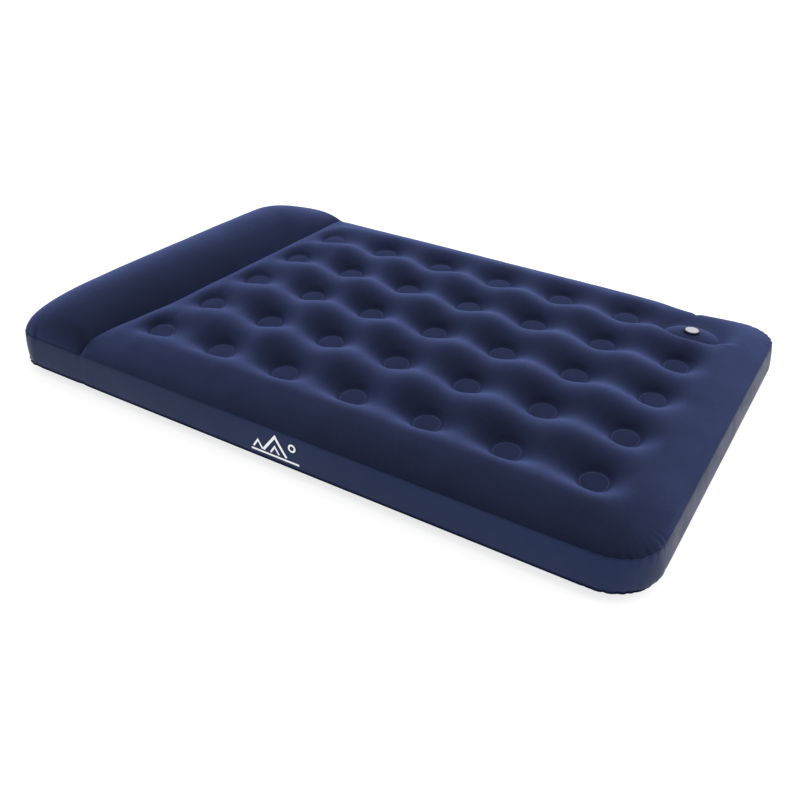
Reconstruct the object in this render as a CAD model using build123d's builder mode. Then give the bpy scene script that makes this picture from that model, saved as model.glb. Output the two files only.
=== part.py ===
from build123d import *
import math
import os

# Double air bed with a built-in pillow and foot pump, inflated. +X runs from the pillow to the foot,
# the origin is on the floor under the centre. Millimetres.

# Envelope of welded sheet
BED_LENGTH = 1910.0
BED_WIDTH = 1340.0
HEAD_CORNER_R = 80.0
FOOT_CORNER_R = 122.0
CORNER_SHARE = 0.7
SKIN = 1.5
RIM_LAP = 4.0
TOP_SEAM_Z = 120.0
BOTTOM_SEAM_Z = 28.0
SEAM_INSET = 6.0
SEAM_LAP = 8.0
BAND_INSET = 3.0
BAND_SHOULDER = 20.0

# Weld dimples and the coil beams under them
PITCH = 221.0
COLUMNS = 7
ROWS = 5
GRID_X = 85.0
DISC_R = 33.0
TOP_DISC_Z = 130.0
TOP_HOLLOW = [(DISC_R, TOP_DISC_Z), (52, 143), (70, 153.5), (88, 165), (108, 190)]
BOTTOM_DISC_Z = 22.0
BOTTOM_HOLLOW = [(DISC_R, BOTTOM_DISC_Z), (60, 14), (86, 4), (108, -2)]
CUT_CLEAR = 20.0
COIL_R = 32.0
COIL_WALL = 1.2
COIL_VENT_R = 8.0

# Valleys that join the dimples of each row, and shallower ones across the rows:
# floor height, half width, half width at the bed's crown, length past the last dimple at both
ROW_VALLEY = (160.5, 15.0, 97.5, 10.0, 100.0)
CROSS_VALLEY = (170.5, 15.0, 95.0, 10.0, 100.0)
CROWN_Z = 188.0
CROWN_CLEAR = 2.0

# Crease between the bed and the pillow, and the web under it
CREASE_X = -680.0
CREASE_CORNER_R = 4.0
BAFFLE_T = 2.0
BAFFLE_TOP_Z = 136.0
BAFFLE_GAP = 3.0
BAFFLE_VENT_R = 22.0
BAFFLE_VENTS = 5
BAFFLE_VENT_PITCH = 240.0

# Levels of each cushion as its sides draw in: height, head inset, side inset, foot inset
BED_LEVELS = [
    (TOP_SEAM_Z, 0, 0, 0),
    (139, 1, 41, 41),
    (158, 52, 94, 94),
    (174, 120, 166, 166),
    (CROWN_Z, 180, 260, 240),
]
PILLOW_LEVELS = [
    (TOP_SEAM_Z, 0, 0, 0),
    (165, 26, 26, 14),
    (205, 52, 62, 48),
    (226, 78, 104, 92),
    (233, 100, 136, 120),
]
BASE_LEVELS = [(BOTTOM_SEAM_Z, 0, 0, 0), (12, 26, 26, 26), (3, 62, 62, 62), (0, 100, 100, 100)]

# Foot pump, in the grid's last slot
PUMP_X = 730.0
PUMP_Y = 442.0
WELL_R = 86.0
WELL_FLANGE_R = 90.5
WELL_FLOOR_Z = 56.0
PUMP_RIM_Z = 128.0
PUMP_HOLLOW = [(WELL_FLANGE_R, PUMP_RIM_Z), (105, 141), (125, 158), (146, 172), (162, 190)]
DOME_R = 85.0
DOME_MID_R = 56.0
DOME_MID_Z = 141.0
DOME_TOP_Z = 149.0
DOME_T = 3.0
DOME_SKIRT = 7.0
DOME_BORE_R = 16.0
COLLAR_R = 24.0
COLLAR_FLOOR_T = 3.0
COLLAR_LIP = 3.0
COLLAR_LIP_T = 4.0
COLLAR_NECK = 8.0
INTAKE_R = 11.0
INTAKE_NECK_R = 15.6
CAP_R = 19.5
CAP_T = 4.0
PLUG_R = 10.6
PLUG_LENGTH = 5.0
FLAP_T = 1.2
FLAP_GAP = 0.3
INTAKE_FLAP_R = 12.5
OUTLET_R = 12.0
OUTLET_SEAT_R = 15.0
OUTLET_DEPTH = 10.0
OUTLET_FLAP_R = 14.0
FOAM_R = 69.0
FOAM_BORE_R = 32.0
FOAM_TOP_Z = 127.0
BELLOWS_R = 83.0
BELLOWS_FOLD = 8.0
BELLOWS_FOLDS = 5
BELLOWS_T = 1.2
SEAT_GAP = 0.3

# Deflation valve, on the far long side
VALVE_X = 560.0
VALVE_Z = 74.0
POCKET_R = 20.0
POCKET_DEPTH = 9.0
VALVE_WALL = 1.6
VALVE_FLANGE_R = 24.0
NECK_R = 12.0
NECK_LENGTH = 15.0
INSERT_R = 11.6
INSERT_BORE_R = 9.6
INSERT_LENGTH = 13.0
INSERT_HEAD_R = 16.0
INSERT_HEAD_T = 2.4
VALVE_FLAP_R = 10.8
VALVE_CAP_R = 17.0
VALVE_CAP_T = 7.4
VALVE_PLUG_R = 9.2
VALVE_PLUG_LENGTH = 4.0
GRIP_GROOVES = 18
GRIP_GROOVE_R = 1.2

HALF_LENGTH = BED_LENGTH / 2
HALF_WIDTH = BED_WIDTH / 2
PUMP_AXIS = Axis((PUMP_X, PUMP_Y, 0), (0, 0, 1))
PUMP_SECTION = Plane(origin=(PUMP_X, PUMP_Y, 0), x_dir=(1, 0, 0), z_dir=(0, -1, 0))
VALVE_FACE_Y = HALF_WIDTH - BAND_INSET
VALVE_AXIS = Axis((VALVE_X, VALVE_FACE_Y, VALVE_Z), (0, 1, 0))
VALVE_SECTION = Plane(origin=(VALVE_X, VALVE_FACE_Y, VALVE_Z), x_dir=(1, 0, 0), z_dir=(0, 0, 1))
VALVE_FACE = Plane(origin=(VALVE_X, VALVE_FACE_Y, VALVE_Z), x_dir=(1, 0, 0), z_dir=(0, 1, 0))

os.makedirs("parts", exist_ok=True)


def save(part, name):
    part.label = name
    export_step(part, f"parts/{name}.step")


# The rounded outline of a cushion at one height. A short one takes smaller corners.
def level_outline(z, x0, x1, half_width, head_r, foot_r):
    most = CORNER_SHARE * (x1 - x0)
    with BuildSketch(Plane.XY.offset(z)) as level:
        with Locations(((x0 + x1) / 2, 0)):
            Rectangle(x1 - x0, 2 * half_width)
        fillet(level.vertices().sort_by(Axis.X)[:2], min(head_r, most))
        fillet(level.vertices().sort_by(Axis.X)[-2:], min(foot_r, most))
    return level.sketch


# A cushion as a solid between its levels. With depth it is the air space that far inside the skin.
def cushion(levels, x0, x1, head_r, foot_r, depth=0.0):
    rise = math.copysign(depth, levels[-1][0] - levels[0][0])
    outlines = []
    for z, head, side, foot in levels:
        at_rim = z == levels[0][0]
        lap = depth * RIM_LAP / SKIN if at_rim else depth
        outlines.append(
            level_outline(
                z if at_rim else z - rise,
                x0 + head + lap,
                x1 - foot - lap,
                HALF_WIDTH - side - lap,
                head_r,
                foot_r,
            )
        )
    with BuildPart() as body:
        for outline in outlines:
            add(outline)
        loft(ruled=True)
    return body.part


# A rising profile moved off its skin by a depth, towards the air space.
def behind(profile, depth):
    rise = profile[-1][1] - profile[0][1]
    turn = math.copysign(1.0, rise)
    slopes = [0.0] + [
        math.atan2(turn * (z1 - z0), r1 - r0) for (r0, z0), (r1, z1) in zip(profile, profile[1:])
    ]
    slopes.append(slopes[-1])
    moved = []
    for (r, z), before, after in zip(profile, slopes, slopes[1:]):
        lean = (before + after) / 2
        reach = depth / math.cos((after - before) / 2)
        moved.append((r + reach * math.sin(lean), z - turn * reach * math.cos(lean)))
    return moved


# The hollow over one round weld: a flat disc in a widening funnel.
def hollow(profile, depth=0.0):
    points = behind(profile, depth)
    mouth_r, mouth_z = points[-1]
    with BuildPart() as tool:
        with BuildSketch(Plane.XZ):
            with BuildLine():
                Polyline((0, mouth_z), (0, points[0][1]), *points, close=True)
            make_face()
        revolve(axis=Axis.Z)
    return tool.part


# A boat-shaped valley over a line of dimples, its floor half_length long each way.
def valley(shape, half_length, depth=0.0):
    floor_z, floor_w, crown_w, floor_past, crown_past = shape
    height = CROWN_Z - floor_z
    outlines = []
    for z in (floor_z - depth, CROWN_Z + CROWN_CLEAR):
        sides = []
        for low, high in ((half_length + floor_past, half_length + crown_past), (floor_w, crown_w)):
            run = high - low
            stand_off = depth * math.hypot(run, height) / height
            sides.append(low + (z - floor_z) * run / height + stand_off)
        outlines.append((z, *sides))
    with BuildPart() as tool:
        for z, half_x, half_y in outlines:
            with BuildSketch(Plane.XY.offset(z)):
                Rectangle(2 * half_x, 2 * half_y)
        loft(ruled=True)
    return tool.part


# A skin with its hollows: the cushion's outside less its inside.
def welded_sheet(outer, inner, hollows):
    with BuildPart() as air:
        add(inner)
        for points, _, tool in hollows:
            with Locations(*points):
                add(tool, mode=Mode.SUBTRACT)
    with BuildPart() as sheet:
        add(outer)
        for points, tool, _ in hollows:
            with Locations(*points):
                add(tool, mode=Mode.SUBTRACT)
        add(air.part, mode=Mode.SUBTRACT)
    return sheet.part


# A round part, turned from half its section.
def turned(section, axis, points):
    with BuildPart() as body:
        with BuildSketch(section):
            with BuildLine():
                Polyline(*points, close=True)
            make_face()
        revolve(axis=axis)
    return body.part


grid = [
    (row, column, GRID_X + (column - (COLUMNS - 1) / 2) * PITCH, (row - (ROWS - 1) / 2) * PITCH)
    for row in range(ROWS)
    for column in range(COLUMNS)
]
coil_slots = [slot for slot in grid if (slot[0], slot[1]) != (ROWS - 1, COLUMNS - 1)]
dimple_points = [(x, y) for _, _, x, y in coil_slots]

# Top sheet of the bed, open over the pump
bed_x0 = CREASE_X + BAFFLE_T / 2
depths = (0.0, SKIN)
row_points = [(GRID_X, (row - (ROWS - 1) / 2) * PITCH) for row in range(ROWS)]
column_points = [(GRID_X + (column - (COLUMNS - 1) / 2) * PITCH, 0) for column in range(COLUMNS)]
row_valleys = [valley(ROW_VALLEY, (COLUMNS - 1) / 2 * PITCH, depth) for depth in depths]
cross_valleys = [
    valley(CROSS_VALLEY, (ROWS - 1) / 2 * PITCH, depth).rotate(Axis.Z, 90) for depth in depths
]
bed_skin = welded_sheet(
    cushion(BED_LEVELS, bed_x0, HALF_LENGTH, CREASE_CORNER_R, FOOT_CORNER_R),
    cushion(BED_LEVELS, bed_x0, HALF_LENGTH, CREASE_CORNER_R, FOOT_CORNER_R, SKIN),
    [
        (row_points, *row_valleys),
        (column_points, *cross_valleys),
        (dimple_points, *(hollow(TOP_HOLLOW, depth) for depth in depths)),
        ([(PUMP_X, PUMP_Y)], *(hollow(PUMP_HOLLOW, depth) for depth in depths)),
    ],
)
with BuildPart() as top_sheet:
    add(bed_skin)
    with BuildSketch(Plane.XY.offset(PUMP_RIM_Z - 2 * SKIN)):
        with Locations((PUMP_X, PUMP_Y)):
            Circle(WELL_R + SKIN)
    extrude(amount=CUT_CLEAR, mode=Mode.SUBTRACT)
save(top_sheet.part, "top_sheet")

# Pillow sheet
pillow_x1 = CREASE_X - BAFFLE_T / 2
pillow_sheet = welded_sheet(
    cushion(PILLOW_LEVELS, -HALF_LENGTH, pillow_x1, HEAD_CORNER_R, CREASE_CORNER_R),
    cushion(PILLOW_LEVELS, -HALF_LENGTH, pillow_x1, HEAD_CORNER_R, CREASE_CORNER_R, SKIN),
    [],
)
save(pillow_sheet, "pillow_sheet")

# Bottom sheet, dimpled under every coil
bottom_sheet = welded_sheet(
    cushion(BASE_LEVELS, -HALF_LENGTH, HALF_LENGTH, HEAD_CORNER_R, FOOT_CORNER_R),
    cushion(BASE_LEVELS, -HALF_LENGTH, HALF_LENGTH, HEAD_CORNER_R, FOOT_CORNER_R, SKIN),
    [(dimple_points, *(hollow(BOTTOM_HOLLOW, depth) for depth in depths))],
)
save(bottom_sheet, "bottom_sheet")


# One level of the side band.
def band_outline(z, inset):
    return level_outline(
        z,
        -HALF_LENGTH + inset,
        HALF_LENGTH - inset,
        HALF_WIDTH - inset,
        HEAD_CORNER_R - inset,
        FOOT_CORNER_R - inset,
    )


# The side band as a solid, its face the given depth inside the real one.
def band_solid(depth):
    outlines = [
        band_outline(BOTTOM_SEAM_Z, SEAM_INSET + depth),
        band_outline(BOTTOM_SEAM_Z + BAND_SHOULDER, BAND_INSET + depth),
        band_outline(TOP_SEAM_Z - BAND_SHOULDER, BAND_INSET + depth),
        band_outline(TOP_SEAM_Z, SEAM_INSET + depth),
    ]
    with BuildPart() as body:
        for outline in outlines:
            add(outline)
        loft(ruled=True)
    return body.part


# Side band, turned out into a weld lap at both seams and pierced for the valve
band_outer = band_solid(0.0)
band_inner = band_solid(SKIN)
with BuildPart() as side_band:
    add(band_outer)
    for z in (BOTTOM_SEAM_Z, TOP_SEAM_Z - SKIN):
        add(band_outline(z, 0.0))
        extrude(amount=SKIN)
    add(band_inner, mode=Mode.SUBTRACT)
    with BuildSketch(VALVE_FACE):
        Circle(POCKET_R)
    extrude(amount=-CUT_CLEAR, mode=Mode.SUBTRACT)
save(side_band.part, "side_band")

# Web under the crease, with air passages
base_insets = [(side, z) for z, _, side, _ in BASE_LEVELS]
crease_side = BED_LEVELS[1][2]
half_web = [(HALF_WIDTH - side - SEAM_LAP, z + BAFFLE_GAP) for side, z in reversed(base_insets)]
half_web += [
    (HALF_WIDTH - SEAM_LAP, TOP_SEAM_Z - BAFFLE_GAP),
    (HALF_WIDTH - crease_side - SEAM_LAP, BAFFLE_TOP_Z),
]
with BuildPart() as pillow_baffle:
    with BuildSketch(Plane.YZ.offset(CREASE_X)):
        with BuildLine():
            Polyline(*half_web, *[(-y, z) for y, z in reversed(half_web)], close=True)
        make_face()
        with Locations((0, (TOP_SEAM_Z + BOTTOM_SEAM_Z) / 2)):
            with GridLocations(BAFFLE_VENT_PITCH, 1, BAFFLE_VENTS, 1):
                Circle(BAFFLE_VENT_R, mode=Mode.SUBTRACT)
    extrude(amount=BAFFLE_T / 2, both=True)
save(pillow_baffle.part, "pillow_baffle")

# Coil beams: a tube of sheet between each pair of weld discs, with a vent on both sides
coil_z0 = BOTTOM_DISC_Z + SKIN
coil_length = TOP_DISC_Z - SKIN - coil_z0
for row, column, x, y in coil_slots:
    with BuildPart() as coil:
        with BuildSketch(Plane.XY.offset(coil_z0)):
            with Locations((x, y)):
                Circle(COIL_R)
                Circle(COIL_R - COIL_WALL, mode=Mode.SUBTRACT)
        extrude(amount=coil_length)
        with BuildSketch(Plane.XZ.offset(-y)):
            with Locations((x, coil_z0 + coil_length / 2)):
                Circle(COIL_VENT_R)
        extrude(amount=2 * COIL_R, both=True, mode=Mode.SUBTRACT)
    save(coil.part, f"coil_row{row + 1}_column{column + 1}")

# Pump well, hung from the rim of the top sheet's hole
well_top = PUMP_RIM_Z - SKIN
pump_well = turned(
    PUMP_SECTION,
    PUMP_AXIS,
    [
        (WELL_R, well_top),
        (WELL_FLANGE_R, well_top),
        (WELL_FLANGE_R, well_top - SKIN),
        (WELL_R + SKIN, well_top - SKIN),
        (WELL_R + SKIN, WELL_FLOOR_Z - SKIN),
        (OUTLET_R, WELL_FLOOR_Z - SKIN),
        (OUTLET_R, WELL_FLOOR_Z),
        (WELL_R, WELL_FLOOR_Z),
    ],
)
save(pump_well, "pump_well")

# Pump dome: a low thick shell that keeps its shape, with a short skirt
with BuildPart() as pump_dome:
    with BuildSketch(PUMP_SECTION):
        with BuildLine():
            ThreePointArc((DOME_R, PUMP_RIM_Z), (DOME_MID_R, DOME_MID_Z), (COLLAR_R, DOME_TOP_Z))
            Polyline(
                (COLLAR_R, DOME_TOP_Z),
                (DOME_BORE_R, DOME_TOP_Z),
                (DOME_BORE_R, DOME_TOP_Z - DOME_T),
                (COLLAR_R, DOME_TOP_Z - DOME_T),
            )
            ThreePointArc(
                (COLLAR_R, DOME_TOP_Z - DOME_T),
                (DOME_MID_R, DOME_MID_Z - DOME_T),
                (DOME_R - DOME_T, PUMP_RIM_Z - DOME_T / 2),
            )
            Polyline(
                (DOME_R - DOME_T, PUMP_RIM_Z - DOME_T / 2),
                (DOME_R - DOME_T, PUMP_RIM_Z - DOME_SKIRT),
                (DOME_R, PUMP_RIM_Z - DOME_SKIRT),
                (DOME_R, PUMP_RIM_Z),
            )
        make_face()
    revolve(axis=PUMP_AXIS)
save(pump_dome.part, "pump_dome")

# Folded soft wall between the dome's skirt and the well's floor
fold_count = 2 * BELLOWS_FOLDS
bellows_z0 = WELL_FLOOR_Z + SEAT_GAP
bellows_step = (PUMP_RIM_Z - DOME_SKIRT - SEAT_GAP - bellows_z0) / fold_count
fold_line = [
    (BELLOWS_R - BELLOWS_FOLD * (fold % 2), bellows_z0 + fold * bellows_step)
    for fold in range(fold_count + 1)
]
bellows_inside = [(r - BELLOWS_T, z) for r, z in reversed(fold_line)]
save(turned(PUMP_SECTION, PUMP_AXIS, [*fold_line, *bellows_inside]), "pump_bellows")

# Foam ring that brings the dome back
pump_foam = turned(
    PUMP_SECTION,
    PUMP_AXIS,
    [
        (FOAM_BORE_R, bellows_z0),
        (FOAM_R, bellows_z0),
        (FOAM_R, FOAM_TOP_Z),
        (FOAM_BORE_R, FOAM_TOP_Z),
    ],
)
save(pump_foam, "pump_foam")

# Intake collar on the dome, with a seat for its cap and a neck for its flap
collar_floor_z = DOME_TOP_Z + COLLAR_FLOOR_T
collar_top_z = collar_floor_z + COLLAR_LIP
neck_end_z = DOME_TOP_Z - COLLAR_NECK
intake_collar = turned(
    PUMP_SECTION,
    PUMP_AXIS,
    [
        (INTAKE_R, collar_floor_z),
        (COLLAR_R - COLLAR_LIP_T, collar_floor_z),
        (COLLAR_R - COLLAR_LIP_T, collar_top_z),
        (COLLAR_R, collar_top_z),
        (COLLAR_R, DOME_TOP_Z),
        (INTAKE_NECK_R, DOME_TOP_Z),
        (INTAKE_NECK_R, neck_end_z),
        (INTAKE_R, neck_end_z),
    ],
)
save(intake_collar, "intake_collar")

# Cap of the intake
cap_z0 = collar_floor_z + SEAT_GAP
intake_cap = turned(
    PUMP_SECTION,
    PUMP_AXIS,
    [
        (0, cap_z0 - PLUG_LENGTH),
        (PLUG_R, cap_z0 - PLUG_LENGTH),
        (PLUG_R, cap_z0),
        (CAP_R, cap_z0),
        (CAP_R, cap_z0 + CAP_T),
        (0, cap_z0 + CAP_T),
    ],
)
save(intake_cap, "intake_cap")


# A round check flap, hung by one point of its edge.
def check_flap(face, radius):
    with BuildPart() as flap:
        with BuildSketch(face):
            Circle(radius)
        extrude(amount=FLAP_T)
    return flap.part


# Flap under the intake
intake_flap_z = neck_end_z - FLAP_GAP
save(
    check_flap(
        Plane(origin=(PUMP_X, PUMP_Y, intake_flap_z), x_dir=(1, 0, 0), z_dir=(0, 0, -1)),
        INTAKE_FLAP_R,
    ),
    "intake_flap",
)

# Seat and flap of the outlet, under the well's floor
outlet_z1 = WELL_FLOOR_Z - SKIN
outlet_z0 = outlet_z1 - OUTLET_DEPTH
outlet_seat = turned(
    PUMP_SECTION,
    PUMP_AXIS,
    [
        (OUTLET_R, outlet_z0),
        (OUTLET_SEAT_R, outlet_z0),
        (OUTLET_SEAT_R, outlet_z1),
        (OUTLET_R, outlet_z1),
    ],
)
save(outlet_seat, "outlet_seat")
save(
    check_flap(
        Plane(origin=(PUMP_X, PUMP_Y, outlet_z0 - FLAP_GAP), x_dir=(1, 0, 0), z_dir=(0, 0, -1)),
        OUTLET_FLAP_R,
    ),
    "outlet_flap",
)

# Deflation valve's base: a pocket welded behind the side band, with a neck inward
pocket_floor = -POCKET_DEPTH
valve_base = turned(
    VALVE_SECTION,
    VALVE_AXIS,
    [
        (POCKET_R, -SKIN),
        (VALVE_FLANGE_R, -SKIN),
        (VALVE_FLANGE_R, -2 * SKIN),
        (POCKET_R + VALVE_WALL, -2 * SKIN),
        (POCKET_R + VALVE_WALL, pocket_floor - VALVE_WALL),
        (NECK_R + VALVE_WALL, pocket_floor - VALVE_WALL),
        (NECK_R + VALVE_WALL, pocket_floor - NECK_LENGTH),
        (NECK_R, pocket_floor - NECK_LENGTH),
        (NECK_R, pocket_floor),
        (POCKET_R, pocket_floor),
    ],
)
save(valve_base, "valve_base")

# Insert that screws into the neck
head_y0 = pocket_floor + SEAT_GAP
head_y1 = head_y0 + INSERT_HEAD_T
insert_end = head_y0 - INSERT_LENGTH
valve_insert = turned(
    VALVE_SECTION,
    VALVE_AXIS,
    [
        (INSERT_BORE_R, insert_end),
        (INSERT_R, insert_end),
        (INSERT_R, head_y0),
        (INSERT_HEAD_R, head_y0),
        (INSERT_HEAD_R, head_y1),
        (INSERT_BORE_R, head_y1),
    ],
)
save(valve_insert, "valve_insert")

# Flap behind the insert, hung from its upper edge
flap_face_y = VALVE_FACE_Y + insert_end - FLAP_GAP
save(
    check_flap(
        Plane(origin=(VALVE_X, flap_face_y, VALVE_Z), x_dir=(1, 0, 0), z_dir=(0, -1, 0)),
        VALVE_FLAP_R,
    ),
    "valve_flap",
)

# Valve cap, with a plug and a ring of grip grooves
valve_cap_y0 = head_y1 + SEAT_GAP
cap_blank = turned(
    VALVE_SECTION,
    VALVE_AXIS,
    [
        (0, valve_cap_y0 - VALVE_PLUG_LENGTH),
        (VALVE_PLUG_R, valve_cap_y0 - VALVE_PLUG_LENGTH),
        (VALVE_PLUG_R, valve_cap_y0),
        (VALVE_CAP_R, valve_cap_y0),
        (VALVE_CAP_R, valve_cap_y0 + VALVE_CAP_T),
        (0, valve_cap_y0 + VALVE_CAP_T),
    ],
)
with BuildPart() as valve_cap:
    add(cap_blank)
    with BuildSketch(VALVE_FACE.offset(valve_cap_y0)):
        with PolarLocations(VALVE_CAP_R, GRIP_GROOVES):
            Circle(GRIP_GROOVE_R)
    extrude(amount=VALVE_CAP_T, mode=Mode.SUBTRACT)
save(valve_cap.part, "valve_cap")
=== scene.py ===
import math

import bpy
import numpy as np
from mathutils import Matrix, Vector


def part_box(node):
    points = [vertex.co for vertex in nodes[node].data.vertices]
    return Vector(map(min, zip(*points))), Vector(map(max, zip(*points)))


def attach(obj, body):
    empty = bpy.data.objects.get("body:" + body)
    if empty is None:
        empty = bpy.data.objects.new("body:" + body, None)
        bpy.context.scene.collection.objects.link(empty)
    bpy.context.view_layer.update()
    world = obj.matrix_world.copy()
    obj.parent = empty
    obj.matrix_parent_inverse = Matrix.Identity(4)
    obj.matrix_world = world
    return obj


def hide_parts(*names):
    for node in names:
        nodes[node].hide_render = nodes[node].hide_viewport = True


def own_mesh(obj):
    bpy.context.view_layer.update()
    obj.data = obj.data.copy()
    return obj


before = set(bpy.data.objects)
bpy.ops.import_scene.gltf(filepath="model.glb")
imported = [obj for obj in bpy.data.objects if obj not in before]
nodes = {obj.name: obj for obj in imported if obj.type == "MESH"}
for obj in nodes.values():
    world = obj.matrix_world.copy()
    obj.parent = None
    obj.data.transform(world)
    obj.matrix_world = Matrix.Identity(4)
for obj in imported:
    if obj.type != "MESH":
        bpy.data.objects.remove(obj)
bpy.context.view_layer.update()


# ---------------------------------------------------------------- sizes, all from the CAD
def middle(node, axis):
    low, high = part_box(node)
    return (low[axis] + high[axis]) / 2


bed_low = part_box("top_sheet")[0]
pillow_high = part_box("pillow_sheet")[1]
band_low, band_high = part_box("side_band")
dome_low, dome_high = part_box("pump_dome")
well_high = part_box("pump_well")[1]
coils = sorted(n for n in nodes if n.startswith("coil_"))
coil_low, coil_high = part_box(coils[0])
coil_spots = {(round(middle(n, 0), 4), round(middle(n, 1), 4)) for n in coils}
columns = sorted({x for x, _ in coil_spots})
rows = sorted({y for _, y in coil_spots})
PITCH = columns[1] - columns[0]
HALF = PITCH / 2
PUMP = (middle("pump_dome", 0), middle("pump_dome", 1))
GAP = 0.0015  # kept between a skin and the CAD piece that it covers
SEAM_INSET = 0.006
SX = band_high[0] - SEAM_INSET
SY = band_high[1] - SEAM_INSET
HEAD_R, FOOT_R = 0.084 - SEAM_INSET, 0.122 - SEAM_INSET
TOP_SEAM = band_high[2]
BASE_SEAM = band_low[2]
TOP_WELD = coil_high[2] + GAP
BASE_WELD = coil_low[2] - GAP
CREASE_X = (bed_low[0] + pillow_high[0]) / 2
CREASE_Z = 0.139
CREASE_END = 0.05  # how far in from the side the crease reaches its height
DISC_R = 0.035
HOLE_R = (dome_high[0] - dome_low[0]) / 2 - GAP


def corner_r(X):
    """Radius of the outline's corner at the end where a point lies."""
    return np.where(np.asarray(X) < 0, HEAD_R, FOOT_R)


# ---------------------------------------------------------------- curves
def ease(a):
    """From zero to one with level ends."""
    a = np.clip(a, 0, 1)
    return a * a * (3 - 2 * a)


def swing(distance, reach):
    """From one down to nothing over a reach, as half a cosine."""
    return 0.5 + 0.5 * np.cos(math.pi * np.clip(np.abs(distance) / reach, 0, 1))


def bowl(distance, radius, shape):
    return np.exp(-((np.maximum(distance, 0) / radius) ** shape))


def dent(offset, width):
    return np.exp(-((offset / width) ** 2))


def fade(depth, reach):
    """From one at the seam down to nothing further in."""
    return np.exp(-np.maximum(depth, 0) / reach)


def slow_wave(X, Y, size, seed):
    """Soft unevenness made of a few plane waves, from -1 to 1."""
    draw = np.random.default_rng(seed)
    waves = 7
    out = np.zeros_like(X)
    for _ in range(waves):
        angle, phase = draw.uniform(0, math.pi), draw.uniform(0, 2 * math.pi)
        length = size * draw.uniform(0.7, 1.5)
        out += np.sin(2 * math.pi * (X * math.cos(angle) + Y * math.sin(angle)) / length + phase)
    return out / waves


# ---------------------------------------------------------------- grids
TINY = 1e-9
WELD_SHARE = 0.4  # part of a cell's grid that lies on the weld's disc
CELL_SPREAD = 1.15


def grid_lines(edges, counts):
    """Positions of a grid's lines, with a count of steps between each two edges."""
    parts = [np.array([edges[0]])]
    for a, b, n in zip(edges[:-1], edges[1:], counts):
        parts.append(np.linspace(a, b, n + 1)[1:])
    return np.concatenate(parts)


def inner(shape):
    """The vertices of a grid that are free to move: all but those on its edges."""
    free = np.zeros(shape, bool)
    free[1:-1, 1:-1] = True
    return free


def round_corners(X, Y, ends):
    """Moves a square grid's corners onto the rounded outline, at the ends with these X signs."""
    X, Y = X.copy(), Y.copy()
    for sx in ends:
        radius = float(corner_r(sx))
        for sy in (-1, 1):
            cx, cy = sx * (SX - radius), sy * (SY - radius)
            u, v = sx * (X - cx) / radius, sy * (Y - cy) / radius
            m = (u > 0) & (v > 0)
            uu, vv = np.clip(u[m], 0, 1), np.clip(v[m], 0, 1)
            X[m] = cx + sx * radius * uu * np.sqrt(1 - vv**2 / 2)
            Y[m] = cy + sy * radius * vv * np.sqrt(1 - uu**2 / 2)
    return X, Y


def disc_cell(X, Y, low, high, centre, radius, share):
    """Bends one square cell so that its inner rings of vertices lie on circles round centre."""
    m = (X >= low[0] - TINY) & (X <= high[0] + TINY)
    m &= (Y >= low[1] - TINY) & (Y <= high[1] + TINY)
    s = (X[m] - (low[0] + high[0]) / 2) / ((high[0] - low[0]) / 2)
    t = (Y[m] - (low[1] + high[1]) / 2) / ((high[1] - low[1]) / 2)
    rho = np.maximum(np.abs(s), np.abs(t))
    safe = np.where(rho > TINY, rho, 1)
    u, v = s / safe, t / safe
    k = np.minimum(rho / share, 1)
    w = np.clip((rho - share) / (1 - share), 0, 1) ** CELL_SPREAD
    inside = rho <= share + TINY
    xi = centre[0] + radius * u * k * np.sqrt(1 - (v * k) ** 2 / 2)
    yi = centre[1] + radius * v * k * np.sqrt(1 - (u * k) ** 2 / 2)
    xe = np.where(u > 0, high[0] - centre[0], centre[0] - low[0]) * u + centre[0]
    ye = np.where(v > 0, high[1] - centre[1], centre[1] - low[1]) * v + centre[1]
    xo = (centre[0] + radius * u * np.sqrt(1 - v**2 / 2)) * (1 - w) + xe * w
    yo = (centre[1] + radius * v * np.sqrt(1 - u**2 / 2)) * (1 - w) + ye * w
    return m, inside, np.where(inside, xi, xo), np.where(inside, yi, yo)


def mark_grid(X, Y, cell_x, cell_y, hole_share=None):
    """Bends the grid round every weld and the pump's hole; gives the grid and the hole's mask."""
    X0, Y0 = X.copy(), Y.copy()
    hole = np.zeros(X.shape, bool)
    for i, cx in enumerate(columns):
        for j, cy in enumerate(rows):
            is_pump = (cx, cy) not in coil_spots
            if is_pump and hole_share is None:
                continue
            low, high = (cell_x[i], cell_y[j]), (cell_x[i + 1], cell_y[j + 1])
            circle = (PUMP, HOLE_R, hole_share) if is_pump else ((cx, cy), DISC_R, WELD_SHARE)
            m, inside, x, y = disc_cell(X0, Y0, low, high, *circle)
            X[m], Y[m] = x, y
            if is_pump:
                spot = np.where(m)
                hole[spot[0][inside], spot[1][inside]] = True
    return X, Y, hole


# ---------------------------------------------------------------- inflated skins
SMALLEST_AREA = 1e-12
STIFFEST = 8
MOST_STEPS, ROUNDS = 600, 9


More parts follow.
